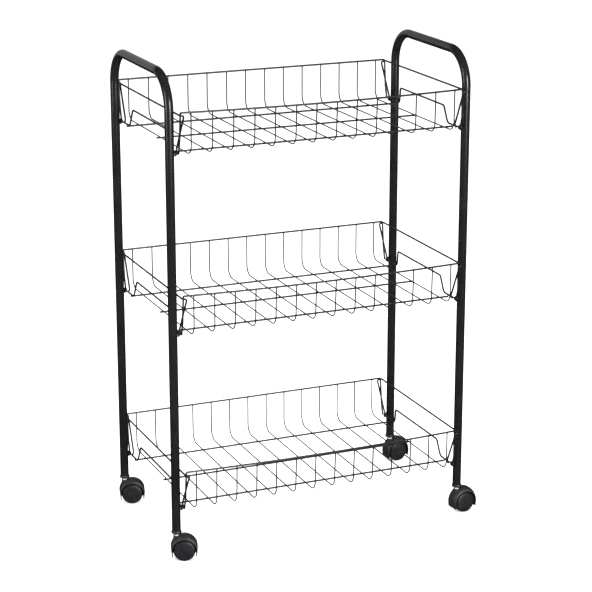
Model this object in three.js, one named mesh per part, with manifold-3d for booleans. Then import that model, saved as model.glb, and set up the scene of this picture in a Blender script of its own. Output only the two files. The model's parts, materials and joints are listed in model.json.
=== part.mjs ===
// Rolling utility cart: two bent tube hoops, three welded wire baskets, four twin-wheel casters.
// Millimetres, +Z up. X runs along the cart's long side and -Y is its front.
// Z = 0 is the floor under the wheels.
import * as THREE from 'three';
import { mergeVertices } from 'three/addons/utils/BufferGeometryUtils.js';
import Module from 'manifold-3d';

const wasm = await Module();
wasm.setup();

// ---------------------------------------------------------------- driving sizes
const GAP = 0.3;                    // clearance left between two separate pieces that touch
const CENTRE_SHIFT_X = -12.43;      // puts the middle of the whole cart, casters included, on X = 0
const CENTRE_SHIFT_Y = 0;           // the same for Y

const TUBE_RADIUS = 8;
const TUBE_BORE_RADIUS = 6.8;
const TUBE_SIDES = 14;
const TUBE_BORE_SIDES = 10;
const LEG_X = 280;                  // tube centre to the cart's middle, along X
const LEG_Y = 144.7;                // tube centre to the cart's middle, along Y
const HOOP_TOP = 881;               // top of the handle's outer surface
const HOOP_BEND_RADIUS = 60;        // to the tube's centre line
const LEG_BOTTOM = 57;

const RIM_Z = { top: 813, middle: 494, bottom: 171 };
const RIM_WIRE = 1.7;               // wire radii
const FLOOR_WIRE = 1.7;
const CROSS_WIRE = 1.2;
const END_WIRE = 1.7;
const SQUARE_FROM_ROUND = Math.sqrt(Math.PI / 2);   // corner radius of a square of equal area
const WELD_DEPTH = 0.45;            // how far two wires of one welded grid melt into each other

const BASKET_Y = 163;               // basket's middle to the centre of its front and rear wires
const END_RAIL_X = LEG_X - TUBE_RADIUS - GAP - END_WIRE;
const RIM_CORNER_X = END_RAIL_X - END_WIRE - RIM_WIRE - GAP;
const FRONT_BOW = 4.2;              // the front rim's middle stands out this far past its corners
const FRONT_SAG = 2.6;              // and hangs this far below them
const RIM_SPANS = 6;                // straight runs that make up a bowed rim
const RIM_CORNER_BEND = 2.6;
const RIM_KNEE_DROP = 50;           // each turned-down end of a rim wire has a knee here
const RIM_KNEE_IN = 5.5;            // sloping in this far above the knee
const RIM_KNEE_BEND = 16;
const CROSS_WIRE_COUNT = 14;
const CROSS_WIRE_PITCH = 38.1;
const CROSS_FLOOR_DROP = 73.7;      // rim wire centre down to the cross wires on the basket's floor
const CROSS_BEND_RADIUS = 18;
const FLOOR_WIRE_Y = 115;           // outer two of the three long floor wires
const FLOOR_WIRE_DROP = CROSS_FLOOR_DROP + CROSS_WIRE + FLOOR_WIRE - WELD_DEPTH;
const FLOOR_WIRE_OVERHANG = 5;      // the middle floor wire past the last cross wire

const END_RAIL_DROP = 3;            // the end rail's top run, below the rim wire
const HOOK_INSET = 7.8;             // an end rail's hooked ends lie this far inside its top run
const HOOK_REACH = 4.4;             // and pass round the rim wire this far outside it
const HOOK_TUCK = 3.2;
const HOOK_TURN_DROP = 10;
const HOOK_BEND = 3;
const HOOK_FOOT_BEND = 4;
const M_TOP_DROP = 42;              // level middle run of the end wire shaped like an M
const M_TOP_X = END_RAIL_X - 5;
const M_FOOT_DROP = FLOOR_WIRE_DROP - FLOOR_WIRE - END_WIRE - GAP;
const M_FOOT_X = END_RAIL_X - 2;
const M_SHOULDER_Y = 89;
const M_SHOULDER_RUN = 10;          // along Y, from the top of a shoulder to its foot
const M_SHOULDER_BEND = 5;
const M_HIP_BEND = 9;
const M_ANKLE_BEND = 6;
const FOOT_REACH = 12;              // feet bend out to the leg this far from its centre
const FOOT_END_REACH = 5;
const EYE_RADIUS = 3.7;             // centre line of the eye at each end of the M wire
const EYE_STEPS = 7;
const EYE_OPEN_STEPS = 1.6;         // how much of the eye's circle stays open, in the same steps
const RIM_FOOT_DROP = M_FOOT_DROP + 1;

const SCREW_SHANK = 1.8;
const SCREW_HEAD = 3.7;
const RIM_FOOT_Y = LEG_Y + SCREW_HEAD + RIM_WIRE + 3 * GAP;     // rim ends stop beside the screw heads
const SCREW_HEAD_CHAMFER = 1;
const SCREW_HEAD_THICK = 2.4;
const SCREW_LENGTH = 9;
const SCREW_HOLE_IN = 2;            // a leg's screw hole starts this far outside its inner side
const SCREW_HOLE_DEPTH = 4;

const WHEEL_RADIUS = 20;
const WHEEL_SIDES = 18;
const WHEEL_INNER = 3.2;            // distances from the caster's middle plane
const WHEEL_OUTER = 11.8;
const WHEEL_DOME = 13.6;
const WHEEL_BORE = 2.8;
const TREAD_CHAMFER = 1.6;
const AXLE_RADIUS = 2.5;
const AXLE_HALF = 9.5;
const TRAIL = 13.5;                 // wheel axle behind the swivel axis
const HOOD_CROWN_RADIUS = 24.3;     // round top of the hood's middle section
const HOOD_CROWN_RAISE = 5.3;       // and its centre, above the wheel axle
const HOOD_CROWN_HALF = 4;          // half the width over which that section stays the same
const HOOD_EDGE_RADIUS = 23.4;      // the same for the hood's two open edges
const HOOD_EDGE_RAISE = -1.2;
const HOOD_HALF_WIDTH = 12.8;
const HOOD_INNER_RADIUS = 20.9;
const HOOD_TIP_DROP = 10.8;         // the fenders' tips, below the wheel axle
const HOOD_TIP_REACH = 22.2;        // and along the trailing direction
const HOOD_ARC_STEPS = 12;
const HOOD_SECTIONS = [-1, -0.85, -0.62, -0.31, 0.31, 0.62, 0.85, 1];   // shares of the half width
const HOOD_WEB_HALF = 2.6;
const NECK_RADIUS = 6.4;
const NECK_TOP = 27.2;              // above the wheel axle
const STEM_RADIUS = 4;
const STEM_BOTTOM = 43;
const STEM_TOP = 86;
const SOCKET_BOTTOM = 51;
const SOCKET_TOP = 90;
const SOCKET_FLARE = 9.6;           // widest radius of the socket's collar
const SOCKET_FLARE_Z = 54;
const SOCKET_LOWER_EDGE = 8.6;
const SOCKET_UPPER_EDGE = 8.4;

// Each caster's trailing direction about its stem, in degrees from +X.
const CASTERS = [
  { name: 'fl', x: -LEG_X, y: -LEG_Y, swivel: -19 },
  { name: 'fr', x: LEG_X, y: -LEG_Y, swivel: 6 },
  { name: 'rl', x: -LEG_X, y: LEG_Y, swivel: -16 },
  { name: 'rr', x: LEG_X, y: LEG_Y, swivel: 5 },
];

// ---------------------------------------------------------------- materials
function enamel() {
  return new THREE.MeshStandardMaterial({ color: 0x1b1b1d, roughness: 0.38, metalness: 0.1 });
}
function plastic() {
  return new THREE.MeshStandardMaterial({ color: 0x222226, roughness: 0.5, metalness: 0 });
}
function zinc() {
  return new THREE.MeshStandardMaterial({ color: 0xb9bcc0, roughness: 0.3, metalness: 1 });
}

// ---------------------------------------------------------------- helpers
function toSolid(geometry) {
  const bare = geometry.clone();
  bare.deleteAttribute('normal');
  bare.deleteAttribute('uv');
  const merged = mergeVertices(bare, 1e-4);
  return new wasm.Manifold(new wasm.Mesh({
    numProp: 3,
    vertProperties: new Float32Array(merged.attributes.position.array),
    triVerts: new Uint32Array(merged.index.array),
  }));
}

function toGeometry(solid) {
  const mesh = solid.getMesh();
  const geometry = new THREE.BufferGeometry();
  geometry.setAttribute('position', new THREE.BufferAttribute(mesh.vertProperties, 3));
  geometry.setIndex(new THREE.BufferAttribute(mesh.triVerts, 1));
  geometry.computeVertexNormals();
  return geometry;
}

function point(x, y, z) {
  return new THREE.Vector3(x, y, z);
}

// A centre line that keeps one cross section at each of its listed points.
class CentreLine extends THREE.Curve {
  constructor(points) {
    super();
    this.points = points;
  }

  getPoint(t) {
    const place = t * (this.points.length - 1);
    const index = Math.min(Math.floor(place), this.points.length - 2);
    return this.points[index].clone().lerp(this.points[index + 1], place - index);
  }

  getSpacedPoints() {
    return this.points.map((p) => p.clone());
  }

  getTangentAt(t) {
    const last = this.points.length - 1;
    const index = Math.round(t * last);
    const tangent = new THREE.Vector3();
    for (const start of [index - 1, index]) {
      if (start < 0 || start >= last) continue;
      tangent.add(this.points[start + 1].clone().sub(this.points[start]).normalize());
    }
    return tangent.normalize();
  }
}

// Corners are [x, y, z, bend radius]. Each inner corner becomes a round bend of `steps` pieces.
function bentLine(corners, steps) {
  const line = [];
  corners.forEach(([x, y, z, radius], index) => {
    const here = point(x, y, z);
    if (index === 0 || index === corners.length - 1 || !radius) {
      line.push(here);
      return;
    }
    const before = point(...corners[index - 1].slice(0, 3)).sub(here).normalize();
    const after = point(...corners[index + 1].slice(0, 3)).sub(here).normalize();
    const half = before.angleTo(after) / 2;
    const start = here.clone().addScaledVector(before, radius / Math.tan(half));
    const inward = before.clone().add(after).normalize();
    const middle = here.clone().addScaledVector(inward, radius / Math.sin(half));
    const first = start.clone().sub(middle);
    const spin = new THREE.Vector3().crossVectors(after, before).normalize();
    const turn = Math.PI - 2 * half;
    for (let step = 0; step <= steps; step += 1) {
      line.push(first.clone().applyAxisAngle(spin, (turn * step) / steps).add(middle));
    }
  });
  return line;
}

function ring(radius, sides) {
  const points = [];
  for (let side = 0; side < sides; side += 1) {
    const angle = (2 * Math.PI * (side + 0.5)) / sides;
    points.push(new THREE.Vector2(radius * Math.cos(angle), radius * Math.sin(angle)));
  }
  return points;
}

function sweep(line, radius, sides, boreRadius = 0, boreSides = 0) {
  const section = new THREE.Shape(ring(radius, sides));
  if (boreRadius) section.holes.push(new THREE.Path(ring(boreRadius, boreSides).reverse()));
  return new THREE.ExtrudeGeometry(section, {
    steps: line.length - 1,
    extrudePath: new CentreLine(line),
    curveSegments: 1,
  });
}

function wire(corners, radius) {
  return sweep(bentLine(corners, 2), radius, 6);
}

// A straight round bar or hole between two points.
function bar(from, to, radius, sides) {
  return sweep([point(...from), point(...to)], radius, sides);
}

// Turned about the local Y axis. `profile` lists [radius, y] from low y to high y.
function turned(profile, sides) {
  const points = profile.map(([radius, y]) => new THREE.Vector2(radius, y));
  return new THREE.LatheGeometry(points, sides, Math.PI / sides);
}

// Joins cross sections, each a convex loop of the same number of points, into one closed solid.
function loft(sections) {
  const count = sections[0].length;
  const last = (sections.length - 1) * count;
  const faces = [];
  for (let start = 0; start < last; start += count) {
    for (let index = 0; index < count; index += 1) {
      const here = start + index;
      const next = start + ((index + 1) % count);
      faces.push(here, next, here + count);
      faces.push(next, next + count, here + count);
    }
  }
  for (let index = 1; index < count - 1; index += 1) {
    faces.push(0, index + 1, index);
    faces.push(last, last + index, last + index + 1);
  }
  const geometry = new THREE.BufferGeometry().setFromPoints(sections.flat());
  geometry.setIndex(faces);
  return geometry;
}

const cart = new THREE.Group();
cart.name = 'rolling_utility_cart';

function add(name, geometry, material) {
  const mesh = new THREE.Mesh(geometry, material);
  mesh.name = name;
  geometry.translate(CENTRE_SHIFT_X, CENTRE_SHIFT_Y, 0);
  cart.add(mesh);
}

// ---------------------------------------------------------------- hoops
function hoop(side) {
  const x = side * LEG_X;
  const top = HOOP_TOP - TUBE_RADIUS;
  const line = bentLine([
    [x, -LEG_Y, LEG_BOTTOM, 0],
    [x, -LEG_Y, top, HOOP_BEND_RADIUS],
    [x, LEG_Y, top, HOOP_BEND_RADIUS],
    [x, LEG_Y, LEG_BOTTOM, 0],
  ], 5);
  let tube = toSolid(sweep(line, TUBE_RADIUS, TUBE_SIDES, TUBE_BORE_RADIUS, TUBE_BORE_SIDES));
  for (const rim of Object.values(RIM_Z)) {
    for (const y of [-LEG_Y, LEG_Y]) {
      const z = rim - M_FOOT_DROP;
      const inner = side * (LEG_X - TUBE_RADIUS);
      const start = [inner - side * SCREW_HOLE_IN, y, z];
      const end = [inner + side * SCREW_HOLE_DEPTH, y, z];
      const hole = bar(start, end, SCREW_SHANK + GAP, 6);
      tube = tube.subtract(toSolid(hole));
    }
  }
  return toGeometry(tube);
}

// ---------------------------------------------------------------- baskets
// How far the front rim stands out and hangs down at x: most in the middle, nothing at its corners.
function frontBow(x) {
  return FRONT_BOW * (1 - (x / RIM_CORNER_X) ** 2);
}

function frontSag(x) {
  return FRONT_SAG * (1 - (x / RIM_CORNER_X) ** 2);
}

// One rim wire with its two corners turned down and their ends bent in towards the legs' screws.
function rimWire(front, rim) {
  const y = front * BASKET_Y;
  const x = RIM_CORNER_X;
  const low = rim - RIM_FOOT_DROP;
  const knee = rim - RIM_KNEE_DROP;
  const kneeY = y - front * RIM_KNEE_IN;
  const footY = front * RIM_FOOT_Y;
  const corners = [
    [-x, footY, low, 0],
    [-x, kneeY, knee, RIM_KNEE_BEND],
    [-x, y, rim, RIM_CORNER_BEND],
  ];
  if (front < 0) {
    for (let span = 1; span < RIM_SPANS; span += 1) {
      const along = -x + (2 * x * span) / RIM_SPANS;
      corners.push([along, y - frontBow(along), rim - frontSag(along), 0]);
    }
  }
  corners.push([x, y, rim, RIM_CORNER_BEND], [x, kneeY, knee, RIM_KNEE_BEND], [x, footY, low, 0]);
  return wire(corners, RIM_WIRE);
}

// Cross wires bent up at the front and rear, welded onto the three long floor wires.
function floorGrid(rim) {
  const floor = rim - CROSS_FLOOR_DROP;
  const tip = rim - RIM_WIRE - GAP;
  const lastCross = (CROSS_WIRE_PITCH * (CROSS_WIRE_COUNT - 1)) / 2;
  let grid = null;
  for (const y of [-FLOOR_WIRE_Y, 0, FLOOR_WIRE_Y]) {
    const reach = y === 0 ? lastCross + FLOOR_WIRE_OVERHANG : M_FOOT_X + 1;
    const z = rim - FLOOR_WIRE_DROP;
    const rod = toSolid(bar([-reach, y, z], [reach, y, z], FLOOR_WIRE, 6));
    grid = grid ? grid.add(rod) : rod;
  }
  for (let index = 0; index < CROSS_WIRE_COUNT; index += 1) {
    const x = -lastCross + index * CROSS_WIRE_PITCH;
    const cross = sweep(bentLine([
      [x, -BASKET_Y - frontBow(x), tip - frontSag(x), 0],
      [x, -BASKET_Y, floor, CROSS_BEND_RADIUS],
      [x, BASKET_Y, floor, CROSS_BEND_RADIUS],
      [x, BASKET_Y, tip, 0],
    ], 3), CROSS_WIRE * SQUARE_FROM_ROUND, 4);
    grid = grid.add(toSolid(cross));
  }
  return toGeometry(grid);
}

// End rail: level along the end, hooked round both corners, then slanting down and back in.
function endRail(side, rim) {
  const out = side * END_RAIL_X;
  const inner = side * (END_RAIL_X - HOOK_INSET);
  const foot = side * (M_FOOT_X - 2 * END_WIRE - GAP);
  const low = rim - M_FOOT_DROP;
  const half = (front) => [
    [foot, front * (LEG_Y - FOOT_END_REACH), low, 0],
    [foot, front * (LEG_Y - FOOT_REACH), low, HOOK_FOOT_BEND],
    [inner, front * (BASKET_Y + HOOK_TUCK), rim - HOOK_TURN_DROP, HOOK_BEND],
    [inner, front * (BASKET_Y + HOOK_REACH), rim - END_RAIL_DROP - 2, HOOK_BEND],
    [out, front * (BASKET_Y + HOOK_REACH), rim - END_RAIL_DROP, HOOK_BEND],
  ];
  return wire([...half(-1), ...half(1).reverse()], END_WIRE);
}

// M wire: level middle run, shoulders dropping to feet that reach out to the legs and end in eyes.
function mWire(side, rim) {
  const top = side * M_TOP_X;
  const foot = side * M_FOOT_X;
  const plane = side * END_RAIL_X;
  const low = rim - M_FOOT_DROP;
  const half = (front) => bentLine([
    [plane, front * (LEG_Y - EYE_RADIUS), low, 0],
    [foot, front * (LEG_Y - FOOT_REACH), low, M_ANKLE_BEND],
    [foot, front * (M_SHOULDER_Y + M_SHOULDER_RUN), low, M_HIP_BEND],
    [top, front * M_SHOULDER_Y, rim - M_TOP_DROP, M_SHOULDER_BEND],
    [top, 0, rim - M_TOP_DROP, 0],
  ], 2).slice(0, -1);
  const eye = (front) => {
    const points = [];
    for (let step = 1; step <= EYE_STEPS; step += 1) {
      const angle = (2 * Math.PI * step) / (EYE_STEPS + EYE_OPEN_STEPS);
      const y = front * (LEG_Y - EYE_RADIUS * Math.cos(angle));
      points.unshift(point(plane, y, low + EYE_RADIUS * Math.sin(angle)));
    }
    return points;
  };
  const front = [...eye(-1), ...half(-1)];
  const rear = [...eye(1), ...half(1)].reverse();
  return sweep([...front, ...rear], END_WIRE, 6);
}

// Pan-head screw through an eye into the leg.
function screw(side, front, rim) {
  const headX = END_RAIL_X - END_WIRE - GAP;
  const profile = [
    [0, 0],
    [SCREW_SHANK, 0],
    [SCREW_SHANK, SCREW_LENGTH],
    [SCREW_HEAD, SCREW_LENGTH],
    [SCREW_HEAD - SCREW_HEAD_CHAMFER, SCREW_LENGTH + SCREW_HEAD_THICK],
    [0, SCREW_LENGTH + SCREW_HEAD_THICK],
  ];
  const geometry = turned(profile, 8);
  geometry.rotateZ((side * Math.PI) / 2);
  geometry.translate(side * (headX + SCREW_LENGTH), front * LEG_Y, rim - M_FOOT_DROP);
  return geometry;
}

// ---------------------------------------------------------------- casters
// Built about the stem's axis with the wheels trailing towards +X, then turned into place.
function placeCaster(geometry, caster) {
  geometry.rotateZ(THREE.MathUtils.degToRad(caster.swivel));
  geometry.translate(caster.x, caster.y, 0);
  return geometry;
}

// One cross section of the hood at y: round over the top, then down to the fenders' tips.
function hoodSection(y) {
  const past = Math.max(0, Math.abs(y) - HOOD_CROWN_HALF) / (HOOD_HALF_WIDTH - HOOD_CROWN_HALF);
  const fall = 1 - Math.sqrt(Math.max(0, 1 - past ** 2));
  const radius = THREE.MathUtils.lerp(HOOD_CROWN_RADIUS, HOOD_EDGE_RADIUS, fall);
  const raise = THREE.MathUtils.lerp(HOOD_CROWN_RAISE, HOOD_EDGE_RAISE, fall);
  const loop = [point(-HOOD_TIP_REACH, y, -HOOD_TIP_DROP)];
  for (let step = HOOD_ARC_STEPS; step >= 0; step -= 1) {
    const angle = (Math.PI * step) / HOOD_ARC_STEPS;
    loop.push(point(radius * Math.cos(angle), y, raise + radius * Math.sin(angle)));
  }
  loop.push(point(HOOD_TIP_REACH, y, -HOOD_TIP_DROP));
  return loop;
}

// A domed cover that falls away to its two open edges, hollowed for the wheels beside its middle web.
function hood() {
  const cover = loft(HOOD_SECTIONS.map((share) => hoodSection(share * HOOD_HALF_WIDTH)));
  const neck = bar([-TRAIL, 0, HOOD_INNER_RADIUS / 2], [-TRAIL, 0, NECK_TOP], NECK_RADIUS, 12);
  let body = toSolid(cover).add(toSolid(neck));
  for (const side of [-1, 1]) {
    const open = side * (HOOD_HALF_WIDTH + 1);
    const hollow = bar([0, side * HOOD_WEB_HALF, 0], [0, open, 0], HOOD_INNER_RADIUS, 24);
    body = body.subtract(toSolid(hollow));
  }
  const boreBottom = STEM_BOTTOM - WHEEL_RADIUS - GAP;
  const bore = bar([-TRAIL, 0, boreBottom], [-TRAIL, 0, NECK_TOP + 1], STEM_RADIUS + GAP, 10);
  const axleHole = bar([0, -HOOD_WEB_HALF - 1, 0], [0, HOOD_WEB_HALF + 1, 0], AXLE_RADIUS + GAP, 10);
  const geometry = toGeometry(body.subtract(toSolid(bore)).subtract(toSolid(axleHole)));
  geometry.translate(TRAIL, 0, WHEEL_RADIUS);
  return geometry;
}

function wheel(side) {
  const rim = WHEEL_RADIUS / Math.cos(Math.PI / WHEEL_SIDES);
  const profile = [
    [0, AXLE_HALF + GAP],
    [WHEEL_BORE, AXLE_HALF + GAP],
    [WHEEL_BORE, WHEEL_INNER],
    [rim, WHEEL_INNER],
    [rim, WHEEL_OUTER - TREAD_CHAMFER],
    [rim - TREAD_CHAMFER, WHEEL_OUTER],
    [0, WHEEL_DOME],
  ];
  const geometry = turned(profile, WHEEL_SIDES);
  if (side < 0) geometry.rotateX(Math.PI);
  geometry.translate(TRAIL, 0, WHEEL_RADIUS);
  return geometry;
}

function axle() {
  return bar([TRAIL, -AXLE_HALF, WHEEL_RADIUS], [TRAIL, AXLE_HALF, WHEEL_RADIUS], AXLE_RADIUS, 12);
}

function stem() {
  return bar([0, 0, STEM_BOTTOM], [0, 0, STEM_TOP], STEM_RADIUS, 12);
}

// A flared collar below the leg and a sleeve up inside it, round the stem.
function socket() {
  const bore = STEM_RADIUS + GAP;
  const sleeve = TUBE_BORE_RADIUS * Math.cos(Math.PI / TUBE_BORE_SIDES) - GAP;
  const collarTop = LEG_BOTTOM - GAP;
  const geometry = turned([
    [bore, SOCKET_BOTTOM],
    [SOCKET_LOWER_EDGE, SOCKET_BOTTOM],
    [SOCKET_FLARE, SOCKET_FLARE_Z],
    [SOCKET_UPPER_EDGE, collarTop],
    [sleeve, collarTop],
    [sleeve, SOCKET_TOP],
    [bore, SOCKET_TOP],
    [bore, SOCKET_BOTTOM],
  ], 10);
  geometry.rotateX(Math.PI / 2);
  return geometry;
}

// ---------------------------------------------------------------- assembly
add('hoop_left', hoop(-1), enamel());
add('hoop_right', hoop(1), enamel());

for (const [tier, rim] of Object.entries(RIM_Z)) {
  const label = `basket_${tier}`;
  add(`${label}_floor_grid`, floorGrid(rim), enamel());
  add(`${label}_rim_front`, rimWire(-1, rim), enamel());
  add(`${label}_rim_rear`, rimWire(1, rim), enamel());
  add(`${label}_end_rail_left`, endRail(-1, rim), enamel());
  add(`${label}_end_rail_right`, endRail(1, rim), enamel());
  add(`${label}_m_wire_left`, mWire(-1, rim), enamel());
  add(`${label}_m_wire_right`, mWire(1, rim), enamel());
  add(`screw_${tier}_fl`, screw(-1, -1, rim), enamel());
  add(`screw_${tier}_fr`, screw(1, -1, rim), enamel());
  add(`screw_${tier}_rl`, screw(-1, 1, rim), enamel());
  add(`screw_${tier}_rr`, screw(1, 1, rim), enamel());
}

for (const caster of CASTERS) {
  const label = `caster_${caster.name}`;
  add(`leg_socket_${caster.name}`, placeCaster(socket(), caster), plastic());
  add(`${label}_stem`, placeCaster(stem(), caster), zinc());
  add(`${label}_hood`, placeCaster(hood(), caster), plastic());
  add(`${label}_axle`, placeCaster(axle(), caster), zinc());
  add(`${label}_wheel_front`, placeCaster(wheel(-1), caster), plastic());
  add(`${label}_wheel_rear`, placeCaster(wheel(1), caster), plastic());
}

export default cart;
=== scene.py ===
import json
import math
import random

import bmesh
import bpy
from mathutils import Matrix, Vector


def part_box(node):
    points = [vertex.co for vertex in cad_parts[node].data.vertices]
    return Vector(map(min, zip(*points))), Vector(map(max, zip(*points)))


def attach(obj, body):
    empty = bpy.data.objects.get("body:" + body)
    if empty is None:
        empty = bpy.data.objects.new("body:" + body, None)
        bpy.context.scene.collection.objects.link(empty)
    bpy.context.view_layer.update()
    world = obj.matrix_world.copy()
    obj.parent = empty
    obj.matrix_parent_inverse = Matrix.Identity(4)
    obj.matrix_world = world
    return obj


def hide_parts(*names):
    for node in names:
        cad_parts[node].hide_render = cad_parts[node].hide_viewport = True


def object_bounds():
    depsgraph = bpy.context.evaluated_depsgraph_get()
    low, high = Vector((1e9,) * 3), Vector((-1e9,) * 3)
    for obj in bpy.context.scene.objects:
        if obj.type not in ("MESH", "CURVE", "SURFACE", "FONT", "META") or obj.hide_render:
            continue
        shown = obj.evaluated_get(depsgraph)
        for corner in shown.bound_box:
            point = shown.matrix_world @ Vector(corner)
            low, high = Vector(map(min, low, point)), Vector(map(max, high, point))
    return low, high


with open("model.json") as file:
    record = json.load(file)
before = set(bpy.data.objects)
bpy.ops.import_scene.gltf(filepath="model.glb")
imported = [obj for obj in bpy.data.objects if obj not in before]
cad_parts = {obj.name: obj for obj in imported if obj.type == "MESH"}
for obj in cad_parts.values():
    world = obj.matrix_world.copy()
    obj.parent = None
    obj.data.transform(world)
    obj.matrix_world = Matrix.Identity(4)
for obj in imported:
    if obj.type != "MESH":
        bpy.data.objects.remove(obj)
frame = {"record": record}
cad_low, cad_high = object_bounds()
random.seed(11)

# ---------------------------------------------------------------- sizes
MM = 0.001
GAP = 0.3 * MM                     # clearance that neighbouring pieces keep
TIERS = ("top", "middle", "bottom")
CORNERS = ("fl", "fr", "rl", "rr")
SIDES = {"left": -1, "right": 1}

TUBE_RADIUS = 8 * MM
TUBE_BORE = 6.8 * MM
HOOP_BEND = 60 * MM
HOOP_BEND_STEPS = 28
HOOP_SIDES = 48
HOOP_LIP = 0.5 * MM                # rounding of the tube's cut ends

RIM_WIRE = 1.7 * MM
FLOOR_WIRE = 1.7 * MM
END_WIRE = 1.7 * MM
CROSS_WIRE = 1.2 * MM
WIRE_SIDES = 14
BEND_STEPS = 10
CROSS_COUNT = 14
CROSS_PITCH = 38.1 * MM
CROSS_BEND = 18 * MM
CROSS_DROP = 73.7 * MM
CROSS_WANDER = 0.25                # how far a cross wire may lie off its pitch, in millimetres
CROSS_BITE = 0.45 * MM             # how far the welds sink the cross wires into the long wires
FLOOR_WIRE_Y = 115 * MM
FLOOR_OVERHANG = 5 * MM
FLOOR_WIRE_PAST_FOOT = 1 * MM
FLOOR_BEAD = (1.9 * MM, 1.5 * MM, 1.0 * MM)
FLOOR_BEAD_RISE = 1.35 * MM
RIM_BEAD = (1.7 * MM, 1.3 * MM, 0.8 * MM)
FRONT_BOW = 4.2 * MM
FRONT_SAG = 2.6 * MM
FRONT_STEPS = 16
RIM_KNEE_DROP = 50 * MM
RIM_KNEE_IN = 5.5 * MM
RIM_KNEE_BEND = 16 * MM
RIM_CORNER_BEND = 2.6 * MM
HOOK_INSET = 7.8 * MM
HOOK_BEND = 3 * MM
HOOK_TOP_DROP = 3 * MM             # the end rail under the rim, then the two levels of its hooked corners
HOOK_UPPER_DROP = 5 * MM
HOOK_LOWER_DROP = 10 * MM
HOOK_LOWER_IN = 1.2 * MM
FOOT_TIP_Y = 5 * MM                # from a leg's middle, where a foot ends and where it bends
FOOT_BEND_Y = 12 * MM
RAIL_FOOT_BEND = 4 * MM
M_TOP_DROP = 42 * MM
M_TOP_IN = 5 * MM
M_FOOT_IN = 2 * MM
M_EYE_BEND = 6 * MM
M_FOOT_BEND = 9 * MM
M_SHOULDER_BEND = 5 * MM
M_SHOULDER_SPREAD = 10 * MM
M_SHOULDER_Y = 89 * MM
EYE_RADIUS = 3.7 * MM
EYE_SWEEP = 293                    # degrees
EYE_STEPS = 24

SCREW_SHANK = 1.75 * MM
SCREW_HEAD = 3.65 * MM
SCREW_HEAD_THICK = 2.3 * MM
SCREW_SKIRT = 0.3 * MM
SCREW_SIDES = 48
SCREW_DOME_RINGS = 12
THREAD_PITCH = 0.9 * MM
THREAD_DEPTH = 0.35 * MM
RECESS_DEPTH = 1.1 * MM
RECESS_REACH = 2.1 * MM
RECESS_TIP_EDGE = 0.5 * MM
RECESS_ARM_HALF = 0.55 * MM
RECESS_ARM_EDGE = 0.18 * MM

SOCKET_BORE = 4.35 * MM
SOCKET_SLEEVE = 6.1 * MM
SOCKET_SHOULDER = 8 * MM
SOCKET_COLLAR = 9.5 * MM
STEM_RADIUS = 3.95 * MM
STEM_GROOVE_DROP = 6 * MM
STEM_GROOVE_DEPTH = 0.8 * MM
AXLE_RADIUS = 2.45 * MM
AXLE_HALF = 9.4 * MM
AXLE_CHAMFER = 0.5 * MM

WHEEL_RADIUS = 20 * MM
WHEEL_SIDES = 96
# Radius and height from the caster's middle plane, in millimetres: the axle hole, the inner face, the
# tread, a groove, and the cap.
WHEEL_PROFILE = (
    (0, 9.8), (2.8, 9.8), (2.8, 3.3), (4.4, 3.25), (17.5, 3.25), (18.0, 4.2), (19.3, 4.0), (19.8, 4.3),
    (20, 5.0), (20, 7.6), (19.85, 8.5), (19.5, 9.0), (19.0, 9.2), (18.9, 8.0), (18.7, 8.0), (18.7, 11.0),
    (18.5, 11.7), (18.0, 12.2), (17.0, 12.6), (13.5, 13.1), (9, 13.4), (4, 13.55), (0, 13.6),
)

HOOD_CROWN_RADIUS = 24.2 * MM      # round top of the hood's middle section
HOOD_CROWN_RAISE = 5.3 * MM        # and its centre, above the wheel axle
HOOD_CROWN_HALF = 3 * MM
HOOD_EDGE_RADIUS = 23.3 * MM       # the same for the hood's two open edges
HOOD_EDGE_RAISE = -1.2 * MM
HOOD_HALF_WIDTH = 12.8 * MM
HOOD_CAVITY = 21.9 * MM
HOOD_CAVITY_FILLET = 1 * MM
HOOD_WEB_HALF = 2.6 * MM
HOOD_TIP_DROP = 10.8 * MM
HOOD_TIP_REACH = 22.2 * MM
HOOD_TIP_BLUNT = 0.9 * MM          # thickness of the fenders' tips
HOOD_ARC_STEPS = 64
HOOD_SIDE_STEPS = 8
HOOD_WIDTH_STEPS = 24
HOOD_BEVEL = 0.3 * MM
NECK_RADIUS = 6.3 * MM
NECK_ROOT = 34 * MM
NECK_STRAIGHT = 40 * MM
NECK_TOP = 27.2 * MM
STEM_BORE = 4.3 * MM
AXLE_BORE = 2.75 * MM
PAST_HOOD = 45 * MM                # far enough for a cutter to pass out of the hood

# The camera looks along the photographed view: degrees round the cart, degrees up, metres away.
CAMERA_AZIMUTH = -23.15
CAMERA_ELEVATION = 16.68
CAMERA_DISTANCE = 3.737
CAMERA_LENS = 123.08
CAMERA_AIM = Vector((1.8, 2.7, -24.6)) * MM    # from the middle of the cart's box
SENSOR_WIDTH = 36

FLOOR_HALF = 14
FLOOR_GLOW = 0.32
SKY_STRENGTH = 1.05


def middle(node):
    low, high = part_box(node)
    return (low + high) / 2


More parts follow.
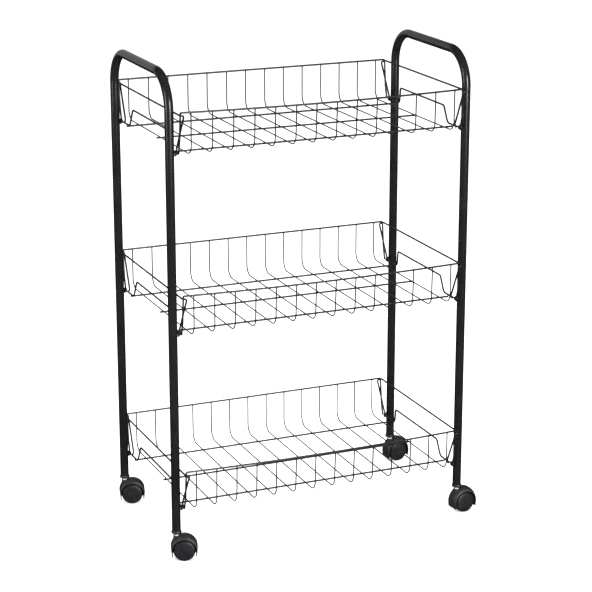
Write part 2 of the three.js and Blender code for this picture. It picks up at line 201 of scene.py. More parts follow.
hoop_low, hoop_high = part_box("hoop_left")
LEG_Y = hoop_high.y - TUBE_RADIUS
LEG_X = {side: middle(f"hoop_{side}").x for side in SIDES}
CENTRE_X = (LEG_X["left"] + LEG_X["right"]) / 2
HALF_X = (LEG_X["right"] - LEG_X["left"]) / 2
RIM_Z = {tier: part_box(f"basket_{tier}_rim_rear")[1].z - RIM_WIRE for tier in TIERS}
BASKET_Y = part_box("basket_top_rim_rear")[1].y - RIM_WIRE
HOOK_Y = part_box("basket_top_end_rail_left")[1].y - END_WIRE
END_X = HALF_X - TUBE_RADIUS - END_WIRE - GAP
RIM_X = END_X - END_WIRE - RIM_WIRE - GAP
M_TOP_X = END_X - M_TOP_IN
FOOT_X = END_X - M_FOOT_IN
FLOOR_DROP = CROSS_DROP + CROSS_WIRE + FLOOR_WIRE - CROSS_BITE
FOOT_DROP = FLOOR_DROP - FLOOR_WIRE - END_WIRE - GAP
RIM_FOOT_DROP = FOOT_DROP + 1 * MM
RIM_FOOT_Y = LEG_Y + EYE_RADIUS + RIM_WIRE + 0.9 * MM


# ---------------------------------------------------------------- materials
class Nodes:
    """Short calls for building one material's node tree."""

    def __init__(self, name):
        self.material = bpy.data.materials.new(name)
        self.material.use_nodes = True
        self.tree = self.material.node_tree
        self.shader = self.tree.nodes["Principled BSDF"]
        self.place = self.add("ShaderNodeTexCoord").outputs["Object"]

    def add(self, kind, **settings):
        node = self.tree.nodes.new(kind)
        for key, value in settings.items():
            setattr(node, key, value)
        return node

    def join(self, source, target):
        self.tree.links.new(source, target)

    def noise(self, scale, detail=3.0, roughness=0.55, stretch=(1, 1, 1)):
        mapping = self.add("ShaderNodeMapping")
        mapping.inputs["Scale"].default_value = stretch
        self.join(self.place, mapping.inputs["Vector"])
        node = self.add("ShaderNodeTexNoise")
        node.inputs["Scale"].default_value = scale
        node.inputs["Detail"].default_value = detail
        node.inputs["Roughness"].default_value = roughness
        self.join(mapping.outputs["Vector"], node.inputs["Vector"])
        return node.outputs["Fac"]

    def ramp(self, value, stops):
        node = self.add("ShaderNodeValToRGB")
        elements = node.color_ramp.elements
        while len(elements) < len(stops):
            elements.new(0.5)
        for element, (position, colour) in zip(elements, stops):
            element.position = position
            element.color = (*colour, 1)
        self.join(value, node.inputs["Fac"])
        return node.outputs["Color"]

    def spread(self, value, low, high, start=0.3, end=0.7):
        node = self.add("ShaderNodeMapRange")
        node.inputs["From Min"].default_value = start
        node.inputs["From Max"].default_value = end
        node.inputs["To Min"].default_value = low
        node.inputs["To Max"].default_value = high
        self.join(value, node.inputs["Value"])
        return node.outputs["Result"]

    def combine(self, operation, first, second):
        node = self.add("ShaderNodeMath", operation=operation)
        for socket, value in zip(node.inputs, (first, second)):
            if isinstance(value, (int, float)):
                socket.default_value = value
            else:
                self.join(value, socket)
        return node.outputs["Value"]

    def blend(self, factor, first, second):
        node = self.add("ShaderNodeMix", data_type="RGBA")
        self.join(factor, node.inputs["Factor"])
        for socket, value in ((node.inputs[6], first), (node.inputs[7], second)):
            if isinstance(value, tuple):
                socket.default_value = (*value, 1)
            else:
                self.join(value, socket)
        return node.outputs[2]

    def upward(self):
        """1 on faces that look up, 0 on the rest: where dust settles."""
        normal = self.add("ShaderNodeNewGeometry").outputs["Normal"]
        split = self.add("ShaderNodeSeparateXYZ")
        self.join(normal, split.inputs[0])
        return self.spread(split.outputs["Z"], 0.0, 1.0, 0.35, 1.0)

    def bump(self, height, strength, distance):
        node = self.add("ShaderNodeBump")
        node.inputs["Strength"].default_value = strength
        node.inputs["Distance"].default_value = distance
        self.join(height, node.inputs["Height"])
        self.join(node.outputs["Normal"], self.shader.inputs["Normal"])


def enamel(name, dark, light, gloss_low, gloss_high, peel_scale, peel):
    """Sprayed black enamel: orange peel, faint rub marks and a trace of dust on top."""
    n = Nodes(name)
    clouds = n.noise(26, 4)
    colour = n.ramp(clouds, ((0.3, dark), (0.7, light)))
    specks = n.spread(n.noise(900, 2, 0.7), 0.0, 1.0, 0.66, 0.74)
    dust = n.combine("MULTIPLY", n.upward(), specks)
    colour = n.blend(n.combine("MULTIPLY", dust, 0.35), colour, (0.16, 0.155, 0.15))
    n.join(colour, n.shader.inputs["Base Color"])
    rubs = n.spread(n.noise(60, 5, 0.65, (1, 1, 0.25)), gloss_low, gloss_high)
    n.join(n.combine("ADD", rubs, n.combine("MULTIPLY", dust, 0.2)), n.shader.inputs["Roughness"])
    n.shader.inputs["Specular IOR Level"].default_value = 0.5
    n.bump(n.noise(peel_scale, 3), peel, 0.2 * MM)
    return n.material


def plastic(name, dark, light, gloss_low, gloss_high, grain):
    """Moulded black nylon: fine grain, flow marks and scuffs."""
    n = Nodes(name)
    flow = n.noise(90, 5, 0.6, (1, 0.5, 1))
    colour = n.ramp(flow, ((0.3, dark), (0.72, light)))
    scuff = n.spread(n.noise(420, 6, 0.7, (1, 1, 0.3)), 0.0, 1.0, 0.64, 0.72)
    colour = n.blend(n.combine("MULTIPLY", scuff, 0.3), colour, (0.09, 0.09, 0.092))
    n.join(colour, n.shader.inputs["Base Color"])
    n.join(n.spread(flow, gloss_low, gloss_high), n.shader.inputs["Roughness"])
    n.shader.inputs["Specular IOR Level"].default_value = 0.45
    n.bump(n.noise(2600, 3, 0.6), grain, 0.1 * MM)
    return n.material


def zinc(name):
    """Bright zinc plate: turned lines, cloudy patches."""
    n = Nodes(name)
    clouds = n.noise(220, 4)
    colour = n.ramp(clouds, ((0.3, (0.72, 0.73, 0.74)), (0.7, (0.86, 0.87, 0.88))))
    n.join(colour, n.shader.inputs["Base Color"])
    n.shader.inputs["Metallic"].default_value = 0.25
    turned_lines = n.noise(500, 3, 0.6, (0.2, 0.2, 12))
    n.join(n.spread(turned_lines, 0.22, 0.42), n.shader.inputs["Roughness"])
    n.bump(turned_lines, 0.25, 0.05 * MM)
    return n.material


def floor_paint(name):
    """Pale matt studio floor."""
    n = Nodes(name)
    colour = n.ramp(n.noise(2.2, 4), ((0.3, (0.93, 0.93, 0.93)), (0.7, (0.96, 0.96, 0.96))))
    n.join(colour, n.shader.inputs["Base Color"])
    n.join(n.spread(n.noise(30, 3), 0.8, 0.95), n.shader.inputs["Roughness"])
    n.shader.inputs["Specular IOR Level"].default_value = 0.1
    n.shader.inputs["Emission Color"].default_value = (1, 1, 1, 1)
    n.shader.inputs["Emission Strength"].default_value = FLOOR_GLOW
    n.bump(n.noise(300, 3), 0.05, 0.5 * MM)
    return n.material


# A finish is its darkest and lightest colour and the range of its roughness, then what its maker adds:
# the orange peel's scale and strength for enamel, the grain's strength for plastic.
MATERIALS = {
    "tube_enamel": enamel(
        "tube_enamel", (0.006, 0.006, 0.0065), (0.010, 0.010, 0.011), 0.20, 0.28, 1100, 0.05),
    "wire_enamel": enamel(
        "wire_enamel", (0.006, 0.006, 0.0065), (0.010, 0.010, 0.011), 0.26, 0.38, 1800, 0.12),
    "screw_enamel": enamel(
        "screw_enamel", (0.014, 0.014, 0.0145), (0.022, 0.022, 0.023), 0.34, 0.48, 2400, 0.15),
    "socket_plastic": plastic(
        "socket_plastic", (0.009, 0.009, 0.0095), (0.015, 0.015, 0.016), 0.42, 0.56, 0.35),
    "hood_plastic": plastic(
        "hood_plastic", (0.012, 0.012, 0.0125), (0.020, 0.020, 0.021), 0.38, 0.52, 0.45),
    "wheel_plastic": plastic(
        "wheel_plastic", (0.006, 0.006, 0.0085), (0.011, 0.0105, 0.014), 0.34, 0.46, 0.35),
    "zinc": zinc("zinc"),
}


# ---------------------------------------------------------------- shapes
def bent(corners, steps=BEND_STEPS):
    """Corners are (place, bend radius). Each inner corner becomes a round bend."""
    line = []
    for index, (here, radius) in enumerate(corners):
        if index in (0, len(corners) - 1) or not radius:
            line.append(here.copy())
            continue
        before = (corners[index - 1][0] - here).normalized()
        after = (corners[index + 1][0] - here).normalized()
        half = before.angle(after) / 2
        start = here + before * (radius / math.tan(half))
        centre = here + (before + after).normalized() * (radius / math.sin(half))
        axis = after.cross(before).normalized()
        turn = math.pi - 2 * half
        for step in range(steps + 1):
            line.append(centre + Matrix.Rotation(turn * step / steps, 3, axis) @ (start - centre))
    return line


def frames_along(line):
    """A tangent and two cross directions at each point, without twist."""
    result = []
    across = None
    for index, here in enumerate(line):
        before = line[max(index - 1, 0)]
        after = line[min(index + 1, len(line) - 1)]
        tangent = ((after - here).normalized() + (here - before).normalized()).normalized()
        if across is None:
            across = tangent.orthogonal().normalized()
        across = (across - tangent * across.dot(tangent)).normalized()
        result.append((tangent, across, tangent.cross(across)))
    return result


def add_ring(mesh, centre, across, up, radius, sides):
    ring = []
    for side in range(sides):
        angle = 2 * math.pi * side / sides
        ring.append(mesh.verts.new(centre + (across * math.cos(angle) + up * math.sin(angle)) * radius))
    return ring


def bridge(mesh, first, second):
    count = len(first)
    for side in range(count):
        after = (side + 1) % count
        mesh.faces.new((first[side], first[after], second[after], second[side]))


def rod(mesh, line, radius, sides=WIRE_SIDES, round_end=0.35):
    """A round wire along a line, its ends slightly rounded where it was cut."""
    turns = frames_along(line)
    rings = []
    tangent, across, up = turns[0]
    rings.append(add_ring(mesh, line[0], across, up, radius * (1 - round_end), sides))
    rings.append(add_ring(mesh, line[0] + tangent * radius * round_end, across, up, radius, sides))
    for here, (tangent, across, up) in list(zip(line, turns))[1:-1]:
        rings.append(add_ring(mesh, here, across, up, radius, sides))
    tangent, across, up = turns[-1]
    rings.append(add_ring(mesh, line[-1] - tangent * radius * round_end, across, up, radius, sides))
    rings.append(add_ring(mesh, line[-1], across, up, radius * (1 - round_end), sides))
    for first, second in zip(rings, rings[1:]):
        bridge(mesh, first, second)
    mesh.faces.new(reversed(rings[0]))
    mesh.faces.new(rings[-1])


def bead(mesh, centre, size):
    """A weld bead: a small squashed ball, each one a little different."""
    wobble = [1 + random.uniform(-0.12, 0.12) for _ in range(3)]
    scale = Matrix.Diagonal((size[0] * wobble[0], size[1] * wobble[1], size[2] * wobble[2], 1))
    bmesh.ops.create_uvsphere(mesh, u_segments=8, v_segments=6, radius=1,
                              matrix=Matrix.Translation(centre) @ scale)


def lathe(mesh, profile, segments, matrix=Matrix()):
    """Turned about local Z. The profile is (radius, height); radius 0 closes on the axis."""
    rings = []
    for radius, height in profile:
        if radius == 0:
            rings.append([mesh.verts.new(matrix @ Vector((0, 0, height)))])
            continue
        ring = []
        for side in range(segments):
            angle = 2 * math.pi * side / segments
            place = Vector((radius * math.cos(angle), radius * math.sin(angle), height))
            ring.append(mesh.verts.new(matrix @ place))
        rings.append(ring)
    for first, second in zip(rings, rings[1:]):
        for side in range(segments):
            after = (side + 1) % segments
            if len(first) == 1:
                mesh.faces.new((first[0], second[after], second[side]))
            elif len(second) == 1:
                mesh.faces.new((first[side], first[after], second[0]))
            else:
                mesh.faces.new((first[side], first[after], second[after], second[side]))


def prism(mesh, outline, half_width, matrix):
    """An outline of (x, z) points, pulled out along Y both ways."""
    near = [mesh.verts.new(matrix @ Vector((x, -half_width, z))) for x, z in outline]
    far = [mesh.verts.new(matrix @ Vector((x, half_width, z))) for x, z in outline]
    bridge(mesh, near, far)
    mesh.faces.new(reversed(near))
    mesh.faces.new(far)


def make_object(name, mesh, smooth_angle=35):
    """Turns a bmesh into an object with smooth faces and sharp edges past the angle."""
    bmesh.ops.recalc_face_normals(mesh, faces=mesh.faces)
    data = bpy.data.meshes.new(name)
    mesh.to_mesh(data)
    mesh.free()
    data.shade_smooth()
    data.set_sharp_from_angle(angle=math.radians(smooth_angle))
    piece = bpy.data.objects.new(name, data)
    bpy.context.scene.collection.objects.link(piece)
    return piece


def dress(piece, slot, body, node):
    """Material, body and CAD node of a finished piece."""
    piece.data.materials.clear()
    piece.data.materials.append(MATERIALS[slot])
    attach(piece, body)
    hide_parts(node)


def combined(target, cutter, operation):
    """The target's mesh after a boolean with the cutter, which is used up."""
    modifier = target.modifiers.new("cut", "BOOLEAN")
    modifier.operation = operation
    modifier.object = cutter
    modifier.solver = "EXACT"
    bake_modifiers(target)
    bpy.data.objects.remove(cutter)


def bake_modifiers(target):
    bpy.context.view_layer.update()
    graph = bpy.context.evaluated_depsgraph_get()
    data = bpy.data.meshes.new_from_object(target.evaluated_get(graph))
    target.modifiers.clear()
    target.data = data


# ---------------------------------------------------------------- hoops
def build_hoop(side):
    x = LEG_X[side]
    top = hoop_high.z - TUBE_RADIUS
    bottom = hoop_low.z
    line = bent([
        (Vector((x, -LEG_Y, bottom)), 0),
        (Vector((x, -LEG_Y, top)), HOOP_BEND),
        (Vector((x, LEG_Y, top)), HOOP_BEND),
        (Vector((x, LEG_Y, bottom)), 0),
    ], HOOP_BEND_STEPS)
    mesh = bmesh.new()
    turns = frames_along(line)

    def skin(radius):
        return [
            add_ring(mesh, here, across, up, radius, HOOP_SIDES)
            for here, (_, across, up) in zip(line, turns)
        ]

    outer = skin(TUBE_RADIUS)
    inner = skin(TUBE_BORE)
    for rings in (outer, inner):
        for first, second in zip(rings, rings[1:]):
            bridge(mesh, first, second)
    for end, inward in ((0, 1), (-1, -1)):
        tangent, across, up = turns[end]
        edge = add_ring(mesh, line[end], across, up, TUBE_RADIUS - HOOP_LIP, HOOP_SIDES)
        for vertex in outer[end]:
            vertex.co += tangent * inward * HOOP_LIP
        bridge(mesh, outer[end], edge)
        bridge(mesh, edge, inner[end])
    piece = make_object(f"look_hoop_{side}", mesh, 50)
    dress(piece, "tube_enamel", "frame", f"hoop_{side}")


# ---------------------------------------------------------------- baskets
def front_curve(x):
    """1 at the front rim's middle, 0 at its corners."""
    return 1 - ((x - CENTRE_X) / RIM_X) ** 2


def build_rim(tier, name, front):
    z = RIM_Z[tier]
    low = z - RIM_FOOT_DROP
    y = front * BASKET_Y
    left, right = CENTRE_X - RIM_X, CENTRE_X + RIM_X
    foot_y = front * RIM_FOOT_Y
    knee_y = y - front * RIM_KNEE_IN
    knee = z - RIM_KNEE_DROP
    corners = [
        (Vector((left, foot_y, low)), 0),
        (Vector((left, knee_y, knee)), RIM_KNEE_BEND),
        (Vector((left, y, z)), RIM_CORNER_BEND),
    ]
    if front < 0:
        for step in range(1, FRONT_STEPS):
            x = left + (right - left) * step / FRONT_STEPS
            bow = front_curve(x)
            corners.append((Vector((x, y - FRONT_BOW * bow, z - FRONT_SAG * bow)), 0))
    corners += [
        (Vector((right, y, z)), RIM_CORNER_BEND),
        (Vector((right, knee_y, knee)), RIM_KNEE_BEND),
        (Vector((right, foot_y, low)), 0),
    ]
    mesh = bmesh.new()
    rod(mesh, bent(corners), RIM_WIRE)
    piece = make_object(f"look_basket_{tier}_{name}", mesh)
    dress(piece, "wire_enamel", "frame", f"basket_{tier}_{name}")


def build_floor_grid(tier):
    z = RIM_Z[tier]
    floor = z - CROSS_DROP
    wire_z = z - FLOOR_DROP
    tip = z - RIM_WIRE
    last = CROSS_PITCH * (CROSS_COUNT - 1) / 2
    mesh = bmesh.new()
    long_wires = (-FLOOR_WIRE_Y, 0, FLOOR_WIRE_Y)
    for y in long_wires:
        reach = last + FLOOR_OVERHANG if y == 0 else FOOT_X + FLOOR_WIRE_PAST_FOOT
        ends = [Vector((CENTRE_X - reach, y, wire_z)), Vector((CENTRE_X + reach, y, wire_z))]
        rod(mesh, ends, FLOOR_WIRE)
    for index in range(CROSS_COUNT):
        x = CENTRE_X - last + index * CROSS_PITCH + random.uniform(-CROSS_WANDER, CROSS_WANDER) * MM
        bow = front_curve(x)
        line = bent([
            (Vector((x, -BASKET_Y - FRONT_BOW * bow, tip - FRONT_SAG * bow)), 0),
            (Vector((x, -BASKET_Y, floor)), CROSS_BEND),
            (Vector((x, BASKET_Y, floor)), CROSS_BEND),
            (Vector((x, BASKET_Y, tip)), 0),
        ])
        rod(mesh, line, CROSS_WIRE)
        for y in long_wires:
            bead(mesh, Vector((x, y, wire_z + FLOOR_BEAD_RISE)), FLOOR_BEAD)
        for end in (line[0], line[-1]):
            bead(mesh, end, RIM_BEAD)
    piece = make_object(f"look_basket_{tier}_floor_grid", mesh)
    dress(piece, "wire_enamel", "frame", f"basket_{tier}_floor_grid")


def build_end_rail(tier, side):
    sign = SIDES[side]
    z = RIM_Z[tier]
    low = z - FOOT_DROP

    def place(inset, y, height):
        return Vector((CENTRE_X + sign * (END_X - inset), y, height))

    def half(front):
        foot_inset = M_FOOT_IN + 2 * END_WIRE + GAP
        return [
            (place(foot_inset, front * (LEG_Y - FOOT_TIP_Y), low), 0),
            (place(foot_inset, front * (LEG_Y - FOOT_BEND_Y), low), RAIL_FOOT_BEND),
            (place(HOOK_INSET, front * (HOOK_Y - HOOK_LOWER_IN), z - HOOK_LOWER_DROP), HOOK_BEND),
            (place(HOOK_INSET, front * HOOK_Y, z - HOOK_UPPER_DROP), HOOK_BEND),
            (place(0, front * HOOK_Y, z - HOOK_TOP_DROP), HOOK_BEND),
        ]

    mesh = bmesh.new()
    rod(mesh, bent(half(-1) + half(1)[::-1]), END_WIRE)
    piece = make_object(f"look_basket_{tier}_end_rail_{side}", mesh)
    dress(piece, "wire_enamel", "frame", f"basket_{tier}_end_rail_{side}")


def build_m_wire(tier, side):
    sign = SIDES[side]
    z = RIM_Z[tier]
    low = z - FOOT_DROP
    plane = CENTRE_X + sign * END_X
    foot = CENTRE_X + sign * FOOT_X
    top = CENTRE_X + sign * M_TOP_X

    def half(front):
        line = bent([
            (Vector((plane, front * (LEG_Y - EYE_RADIUS), low)), 0),
            (Vector((foot, front * (LEG_Y - FOOT_BEND_Y), low)), M_EYE_BEND),
            (Vector((foot, front * (M_SHOULDER_Y + M_SHOULDER_SPREAD), low)), M_FOOT_BEND),
            (Vector((top, front * M_SHOULDER_Y, z - M_TOP_DROP)), M_SHOULDER_BEND),
            (Vector((top, 0, z - M_TOP_DROP)), 0),
        ])[:-1]
        eye = []
        for step in range(EYE_STEPS, 0, -1):
            angle = math.radians(EYE_SWEEP * step / EYE_STEPS)
            y = front * (LEG_Y - EYE_RADIUS * math.cos(angle))
            eye.append(Vector((plane, y, low + EYE_RADIUS * math.sin(angle))))
        return eye + line

    mesh = bmesh.new()
    rod(mesh, half(-1) + half(1)[::-1], END_WIRE)
    piece = make_object(f"look_basket_{tier}_m_wire_{side}", mesh)
    dress(piece, "wire_enamel", "frame", f"basket_{tier}_m_wire_{side}")


# ---------------------------------------------------------------- screws
def recess_depth(x, y):
    """How deep the cross recess of a screw head is at a point on it."""
    across = min(abs(x), abs(y))
    along = max(abs(x), abs(y))
    beside_arm = (RECESS_ARM_HALF - across) / RECESS_ARM_EDGE
    before_tip = (RECESS_REACH - along) / RECESS_TIP_EDGE
    return RECESS_DEPTH * max(0.0, min(1.0, beside_arm)) * max(0.0, min(1.0, before_tip))


def screw_mesh():
    """Pan head with a cross recess, along local Z from the point in the leg at z = 0 up to the head."""
    low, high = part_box("screw_top_fl")
    head = high.x - low.x - SCREW_HEAD_THICK
    skirt = head + SCREW_SKIRT
    profile = [(0, 0), (SCREW_SHANK / 3, 0)]
    z = THREAD_PITCH
    while z < head - THREAD_PITCH:
        profile += [(SCREW_SHANK - THREAD_DEPTH, z), (SCREW_SHANK, z + THREAD_PITCH / 2)]
        z += THREAD_PITCH
    profile += [
        (SCREW_SHANK - THREAD_DEPTH / 2, head),
        (SCREW_HEAD - SCREW_SKIRT / 2, head),
        (SCREW_HEAD, skirt),
    ]
    mesh = bmesh.new()
    lathe(mesh, profile, SCREW_SIDES)
    previous = list(mesh.verts)[-SCREW_SIDES:]
    for step in range(1, SCREW_DOME_RINGS):
        radius = SCREW_HEAD * (1 - step / SCREW_DOME_RINGS)
        dome = math.sqrt(1 - (radius / SCREW_HEAD) ** 2)
        height = skirt + (SCREW_HEAD_THICK - SCREW_SKIRT) * dome ** 0.8
        ring = []
        for side in range(SCREW_SIDES):
            angle = 2 * math.pi * side / SCREW_SIDES
            x, y = radius * math.cos(angle), radius * math.sin(angle)
            ring.append(mesh.verts.new((x, y, height - recess_depth(x, y))))
        bridge(mesh, previous, ring)
        previous = ring
    floor = mesh.verts.new((0, 0, head + SCREW_HEAD_THICK - RECESS_DEPTH))
    for side in range(SCREW_SIDES):
        mesh.faces.new((previous[side], previous[(side + 1) % SCREW_SIDES], floor))
    return mesh


def build_screw(tier, corner):
    node = f"screw_{tier}_{corner}"
    low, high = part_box(node)
    centre = (low + high) / 2
    sign = -1 if corner.endswith("l") else 1
    start = Vector((high.x if sign > 0 else low.x, centre.y, centre.z))
    spin = Matrix.Rotation(random.uniform(0, math.pi / 2), 4, "Z")
    turn = Matrix.Rotation(-sign * math.pi / 2, 4, "Y")
    mesh = screw_mesh()
    bmesh.ops.transform(mesh, matrix=Matrix.Translation(start) @ turn @ spin, verts=mesh.verts)
    piece = make_object(f"look_{node}", mesh, 40)
    dress(piece, "screw_enamel", "frame", node)


# ---------------------------------------------------------------- casters
def caster_place(corner):
    """Matrix from the caster's own frame, stem at the origin and trailing along +X, to the row's frame."""
    joints = {joint["name"]: joint for joint in frame["record"]["behaviour"]["joints"]}
    swivel = Vector(joints[f"swivel_{corner}"]["pos_m"])
    spin = Vector(joints[f"wheel_{corner}_front_spin"]["pos_m"])
    along = spin - swivel
    angle = math.atan2(along.y, along.x)
    trail = math.hypot(along.x, along.y)
    return Matrix.Translation((swivel.x, swivel.y, 0)) @ Matrix.Rotation(angle, 4, "Z"), trail


def build_socket(corner, place):
    low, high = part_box(f"leg_socket_{corner}")
    bottom, top = low.z, high.z
    shoulder = hoop_low.z - 0.25 * MM
    profile = [
        (SOCKET_BORE, bottom + 0.4 * MM),
        (SOCKET_BORE + 0.35 * MM, bottom),
        (SOCKET_COLLAR - 1.3 * MM, bottom),
        (SOCKET_COLLAR - 0.8 * MM, bottom + 0.3 * MM),
        (SOCKET_COLLAR - 0.1 * MM, bottom + 2.4 * MM),
        (SOCKET_COLLAR, bottom + 3.0 * MM),
        (SOCKET_COLLAR - 0.1 * MM, bottom + 3.4 * MM),
        (SOCKET_SHOULDER + 0.5 * MM, shoulder - 0.7 * MM),
        (SOCKET_SHOULDER + 0.3 * MM, shoulder - 0.15 * MM),
        (SOCKET_SHOULDER, shoulder),
        (SOCKET_SLEEVE, shoulder),
        (SOCKET_SLEEVE, top - 1 * MM),
        (SOCKET_SLEEVE - 0.5 * MM, top),
        (SOCKET_BORE, top),
        (SOCKET_BORE, bottom + 0.4 * MM),
    ]
    mesh = bmesh.new()
    lathe(mesh, profile, 56, place)
    bmesh.ops.remove_doubles(mesh, verts=mesh.verts, dist=1e-6)
    piece = make_object(f"look_leg_socket_{corner}", mesh, 40)
    dress(piece, "socket_plastic", "frame", f"leg_socket_{corner}")


def build_stem(corner, place):
    low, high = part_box(f"caster_{corner}_stem")
    groove = high.z - STEM_GROOVE_DROP
    in_groove = STEM_RADIUS - STEM_GROOVE_DEPTH
    profile = [
        (0, low.z),
        (STEM_RADIUS - 0.6 * MM, low.z),
        (STEM_RADIUS, low.z + 0.6 * MM),
        (STEM_RADIUS, groove - 1 * MM),
        (in_groove, groove - 0.8 * MM),
        (in_groove, groove + 0.8 * MM),
        (STEM_RADIUS, groove + 1 * MM),
        (STEM_RADIUS, high.z - 1 * MM),
        (STEM_RADIUS - 1 * MM, high.z),
        (0, high.z),
    ]
    mesh = bmesh.new()
    lathe(mesh, profile, 40, place)
    piece = make_object(f"look_caster_{corner}_stem", mesh, 40)
    dress(piece, "zinc", "frame", f"caster_{corner}_stem")


def hood_section(y):
    """One cross section of the hood: round over the top, then down to the fenders' tips."""
    past = max(0.0, abs(y) - HOOD_CROWN_HALF) / (HOOD_HALF_WIDTH - HOOD_CROWN_HALF)
    fall = 1 - math.sqrt(max(0.0, 1 - past ** 2))
    radius = HOOD_CROWN_RADIUS + (HOOD_EDGE_RADIUS - HOOD_CROWN_RADIUS) * fall
    raise_by = HOOD_CROWN_RAISE + (HOOD_EDGE_RAISE - HOOD_CROWN_RAISE) * fall
    loop = []
    for step in range(HOOD_ARC_STEPS + 1):
        angle = math.pi * step / HOOD_ARC_STEPS
        loop.append((radius * math.cos(angle), raise_by + radius * math.sin(angle)))
    for step in range(1, HOOD_SIDE_STEPS + 1):
        share = step / HOOD_SIDE_STEPS
        x = radius + (HOOD_TIP_REACH - radius) * share
        loop.append((-x, raise_by - (raise_by + HOOD_TIP_DROP) * share))
    for step in range(HOOD_SIDE_STEPS, 0, -1):
        share = step / HOOD_SIDE_STEPS
        x = radius + (HOOD_TIP_REACH - radius) * share
        loop.append((x, raise_by - (raise_by + HOOD_TIP_DROP) * share))
    return loop


def hood_cover(axle):
    """The solid cover before it is hollowed: sections joined across its width, closer near the edges."""
    mesh = bmesh.new()
    rings = []
    for step in range(-HOOD_WIDTH_STEPS, HOOD_WIDTH_STEPS + 1):
        y = HOOD_HALF_WIDTH * math.sin(math.pi / 2 * step / HOOD_WIDTH_STEPS)
        rings.append([mesh.verts.new(axle @ Vector((x, y, z))) for x, z in hood_section(y)])
    for first, second in zip(rings, rings[1:]):
        bridge(mesh, first, second)
    mesh.faces.new(reversed(rings[0]))
    mesh.faces.new(rings[-1])
    return make_object("hood_body", mesh)


def hood_mesh(trail, stem_bottom):
    """One moulding: a domed cover with pointed fenders, a middle web and the neck for the stem."""
    axle = Matrix.Translation((trail, 0, WHEEL_RADIUS))
    lying = axle @ Matrix.Rotation(-math.pi / 2, 4, "X")
    body = hood_cover(axle)

    below = bmesh.new()
    half_outline = [
        (8 * MM, -7 * MM),
        (16 * MM, -3 * MM),
        (19.6 * MM, -4 * MM),
        (HOOD_TIP_REACH - HOOD_TIP_BLUNT, -HOOD_TIP_DROP),
        (PAST_HOOD, -HOOD_TIP_DROP),
        (PAST_HOOD, -40 * MM),
    ]
    outline = half_outline + [(-x, z) for x, z in reversed(half_outline)]
    prism(below, outline, 20 * MM, axle)
    combined(body, make_object("hood_cut", below), "DIFFERENCE")

    neck = bmesh.new()
    neck_top = WHEEL_RADIUS + NECK_TOP
    lathe(neck, [
        (0, NECK_ROOT),
        (NECK_RADIUS, NECK_ROOT),
        (NECK_RADIUS, NECK_STRAIGHT),
        (NECK_RADIUS - 0.15 * MM, neck_top - 0.9 * MM),
        (NECK_RADIUS - 0.4 * MM, neck_top - 0.3 * MM),
        (NECK_RADIUS - 0.8 * MM, neck_top),
        (0, neck_top),
    ], 64)
    combined(body, make_object("hood_neck", neck), "UNION")

    far_out = HOOD_HALF_WIDTH + 4 * MM
    for side in (-1, 1):
        hollow = bmesh.new()
        lathe(hollow, [
            (0, side * HOOD_WEB_HALF),
            (HOOD_CAVITY - HOOD_CAVITY_FILLET, side * HOOD_WEB_HALF),
            (HOOD_CAVITY, side * (HOOD_WEB_HALF + HOOD_CAVITY_FILLET)),
            (HOOD_CAVITY, side * far_out),
            (0, side * far_out),
        ], 96, lying)
        combined(body, make_object("hood_hollow", hollow), "DIFFERENCE")

    bore = bmesh.new()
    bore_bottom = stem_bottom - GAP
    bore_top = 60 * MM
    lathe(bore, [(0, bore_bottom), (STEM_BORE, bore_bottom), (STEM_BORE, bore_top), (0, bore_top)], 48)
    combined(body, make_object("hood_bore", bore), "DIFFERENCE")
    axle_hole = bmesh.new()
    past_web = 5 * MM
    hole = [(0, -past_web), (AXLE_BORE, -past_web), (AXLE_BORE, past_web), (0, past_web)]
    lathe(axle_hole, hole, 40, lying)
    combined(body, make_object("hood_axle", axle_hole), "DIFFERENCE")

    bevel = body.modifiers.new("soft_edges", "BEVEL")
    bevel.width = HOOD_BEVEL
    bevel.segments = 2
    bevel.limit_method = "ANGLE"
    bevel.angle_limit = math.radians(50)
    bake_modifiers(body)
    data = body.data
    bpy.data.objects.remove(body)
    return data


def build_hood(corner, place, data):
    data = data.copy()
    data.transform(place)
    data.shade_smooth()
    data.set_sharp_from_angle(angle=math.radians(38))
    piece = bpy.data.objects.new(f"look_caster_{corner}_hood", data)
    bpy.context.scene.collection.objects.link(piece)
    dress(piece, "hood_plastic", f"swivel_{corner}", f"caster_{corner}_hood")


def build_axle(corner, place, trail):
    lying = place @ Matrix.Translation((trail, 0, WHEEL_RADIUS)) @ Matrix.Rotation(-math.pi / 2, 4, "X")
    mesh = bmesh.new()
    lathe(mesh, [
        (0, -AXLE_HALF),
        (AXLE_RADIUS - AXLE_CHAMFER, -AXLE_HALF),
        (AXLE_RADIUS, -AXLE_HALF + AXLE_CHAMFER),
        (AXLE_RADIUS, AXLE_HALF - AXLE_CHAMFER),
        (AXLE_RADIUS - AXLE_CHAMFER, AXLE_HALF),
        (0, AXLE_HALF),
    ], 32, lying)
    piece = make_object(f"look_caster_{corner}_axle", mesh, 40)
    dress(piece, "zinc", f"swivel_{corner}", f"caster_{corner}_axle")


def build_wheel(corner, which, place, trail):
    """A disc wheel: rounded tread, a groove, and a proud cap with a soft shoulder."""
    sign = -1 if which == "front" else 1
    centre = place @ Matrix.Translation((trail, 0, WHEEL_RADIUS))
    lying = centre @ Matrix.Rotation(-sign * math.pi / 2, 4, "X")
    mesh = bmesh.new()
    lathe(mesh, [(radius * MM, height * MM) for radius, height in WHEEL_PROFILE], WHEEL_SIDES, lying)
    piece = make_object(f"look_caster_{corner}_wheel_{which}", mesh, 40)
    dress(piece, "wheel_plastic", f"wheel_{corner}_{which}", f"caster_{corner}_wheel_{which}")


# ---------------------------------------------------------------- assembly
for side in SIDES:
    build_hoop(side)

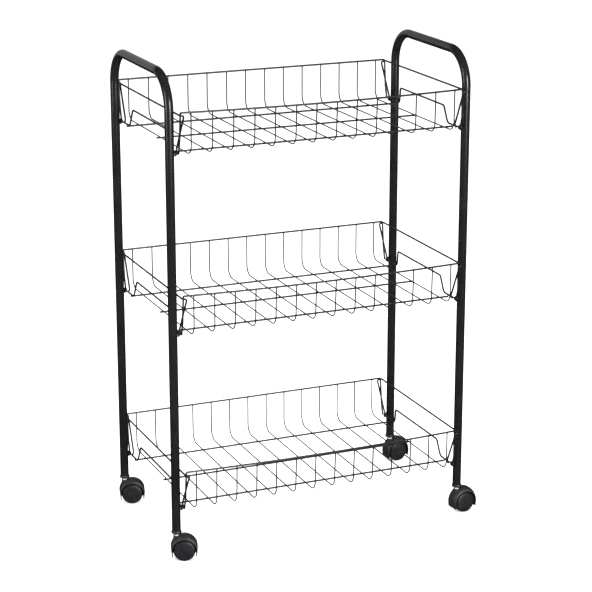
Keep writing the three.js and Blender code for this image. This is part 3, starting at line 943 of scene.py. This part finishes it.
for tier in TIERS:
    build_floor_grid(tier)
    build_rim(tier, "rim_front", -1)
    build_rim(tier, "rim_rear", 1)
    for side in SIDES:
        build_end_rail(tier, side)
        build_m_wire(tier, side)
    for corner in CORNERS:
        build_screw(tier, corner)

hood_data = hood_mesh(caster_place("fl")[1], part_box("caster_fl_stem")[0].z)
for corner in CORNERS:
    place, trail = caster_place(corner)
    build_socket(corner, place)
    build_stem(corner, place)
    build_hood(corner, place, hood_data)
    build_axle(corner, place, trail)
    build_wheel(corner, "front", place, trail)
    build_wheel(corner, "rear", place, trail)


# ---------------------------------------------------------------- studio
def from_azimuth(azimuth, elevation):
    a, e = math.radians(azimuth), math.radians(elevation)
    return Vector((math.sin(a) * math.cos(e), -math.cos(a) * math.cos(e), math.sin(e)))


def aim(thing, place, target):
    thing.location = place
    thing.rotation_mode = "QUATERNION"
    thing.rotation_quaternion = (target - place).to_track_quat("-Z", "Y")


def soft_light(name, azimuth, elevation, distance, size, radiance, target, in_reflections=True):
    """A rectangular soft box, as bright as its radiance says whatever its size. The camera doesn't see it."""
    data = bpy.data.lights.new(name, "AREA")
    data.shape = "RECTANGLE"
    data.size, data.size_y = size
    data.energy = radiance * math.pi * size[0] * size[1]
    light = bpy.data.objects.new(name, data)
    bpy.context.scene.collection.objects.link(light)
    light.visible_camera = False
    light.visible_glossy = in_reflections
    aim(light, target + from_azimuth(azimuth, elevation) * distance, target)


def build_studio():
    centre = (cad_low + cad_high) / 2
    mesh = bmesh.new()
    bmesh.ops.create_grid(mesh, x_segments=8, y_segments=8, size=FLOOR_HALF)
    floor = make_object("studio_floor", mesh)
    floor.data.materials.append(floor_paint("studio_floor_paint"))
    floor.visible_glossy = False

    world = bpy.data.worlds.new("studio_world")
    bpy.context.scene.world = world
    world.use_nodes = True
    sky = world.node_tree.nodes["Background"]
    sky.inputs["Color"].default_value = (1, 1, 1, 1)
    sky.inputs["Strength"].default_value = SKY_STRENGTH
    world.cycles_visibility.glossy = False

    handle = Vector((centre.x, centre.y, cad_high.z))
    soft_light("overhead", 0, 80, 2.2, (2.4, 1.6), 3.0, centre, False)
    soft_light("rear_bank", 180, 6.8, 3.2, (3.8, 2.45), 0.6, handle)
    soft_light("front_key", 10, 4, 3.9, (1.15, 2.0), 22.0, handle)
    soft_light("left_strip", -81, 4, 3.4, (0.7, 2.0), 10.0, handle)


def build_camera():
    data = bpy.data.cameras.new("camera")
    data.lens = CAMERA_LENS
    data.sensor_width = SENSOR_WIDTH
    camera = bpy.data.objects.new("camera", data)
    bpy.context.scene.collection.objects.link(camera)
    target = (cad_low + cad_high) / 2 + CAMERA_AIM
    aim(camera, target + from_azimuth(CAMERA_AZIMUTH, CAMERA_ELEVATION) * CAMERA_DISTANCE, target)
    data.clip_start, data.clip_end = 0.05, 60
    bpy.context.scene.camera = camera


build_studio()
build_camera()
bpy.context.scene.view_settings.view_transform = "Standard"
